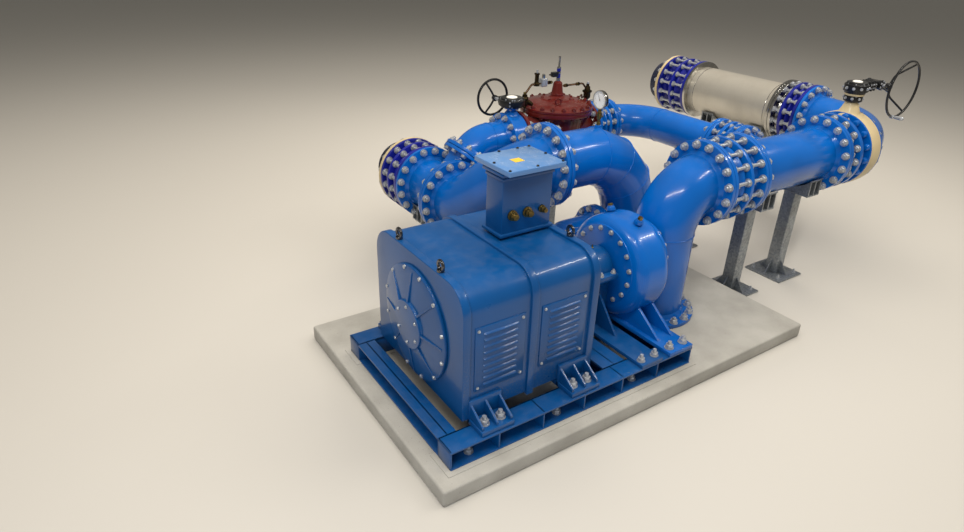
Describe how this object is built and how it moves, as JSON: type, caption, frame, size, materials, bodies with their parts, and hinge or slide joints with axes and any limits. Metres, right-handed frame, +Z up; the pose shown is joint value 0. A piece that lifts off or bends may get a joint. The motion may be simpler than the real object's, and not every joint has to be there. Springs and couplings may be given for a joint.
{
  "type": "hydro turbine set with valve pipework",
  "caption": "Hydro turbine generating set on a plinth, with its blue inlet header, control-valve bypass, outlet line and wall pipes.",
  "frame": {"origin": "on the underside of the concrete plinth, straight below the turbine shaft and midway along the plinth", "axes": "+Z up; +X along the shaft from the generator to the turbine and the inlet; +Y towards the wall the pipes go into"},
  "size_m": [5.11, 3.24, 1.6926],
  "materials": {
    "light_blue_paint": "gloss",
    "royal_blue_coating": "satin",
    "stainless_steel": "dull",
    "maroon_paint": "gloss",
    "black_paint": "satin",
    "cream_paint": "matt",
    "galvanised_steel": "galvanised",
    "brass": "dull",
    "concrete": "trowelled concrete",
    "gauge_white": "glass-fronted dial"
  },
  "bodies": {
    "set": {"base_beam_left": "light_blue_paint", "base_beam_middle": "light_blue_paint", "base_beam_right": "light_blue_paint", "base_rail_far": "light_blue_paint", "base_rail_near": "light_blue_paint", "bearing_housing": "light_blue_paint", "branch_joint": "light_blue_paint", "bypass_bend": "light_blue_paint", "bypass_drop_pipe": "light_blue_paint", "bypass_gearbox": "black_paint", "bypass_joint": "light_blue_paint", "bypass_valve": "light_blue_paint", "control_valve_body": "maroon_paint", "control_valve_cover": "maroon_paint", "coupling_guard": "galvanised_steel", "gauge_cock": "brass", "generator_end_shield_left": "light_blue_paint", "generator_end_shield_right": "light_blue_paint", "generator_frame": "light_blue_paint", "generator_shaft": "galvanised_steel", "header_elbow": "light_blue_paint", "header_joint": "light_blue_paint", "header_tee": "light_blue_paint", "inlet_adaptor": "royal_blue_coating", "inlet_bend": "light_blue_paint", "inlet_gearbox": "black_paint", "inlet_valve": "cream_paint", "inlet_wall_joint": "royal_blue_coating", "inlet_wall_pipe": "cream_paint", "outlet_bend": "light_blue_paint", "outlet_link": "light_blue_paint", "outlet_pipe": "light_blue_paint", "outlet_wall_joint": "royal_blue_coating", "outlet_wall_pipe": "cream_paint", "pilot_filter": "brass", "pilot_valve": "brass", "plinth": "concrete", "position_indicator": "maroon_paint", "pressure_gauge": "gauge_white", "riser_bend": "light_blue_paint", "stainless_spool": "stainless_steel", "stand_bypass": "galvanised_steel", "stand_control_valve": "galvanised_steel", "stand_header_left": "galvanised_steel", "stand_header_right": "galvanised_steel", "stand_inlet_far": "galvanised_steel", "stand_inlet_near": "galvanised_steel", "stand_outlet": "galvanised_steel", "terminal_box": "light_blue_paint", "terminal_box_lid": "light_blue_paint", "turbine_casing": "light_blue_paint", "turbine_cover": "light_blue_paint", "valve_joint": "light_blue_paint"},
    "inlet_wheel": {"inlet_handwheel": "black_paint"},
    "bypass_wheel": {"bypass_handwheel": "black_paint"}
  },
  "joints": [
    {"name": "inlet_handwheel_turn", "type": "hinge", "parent": "set", "child": "inlet_wheel", "pos_m": [2.94015, -0.0903, 1.4748], "axis": [0, 1, 0], "range_deg": [0, 4500]},
    {"name": "bypass_handwheel_turn", "type": "hinge", "parent": "set", "child": "bypass_wheel", "pos_m": [0.41985, 1.6403, 1.2853], "axis": [0, 1, 0], "range_deg": [0, 4500]}
  ]
}
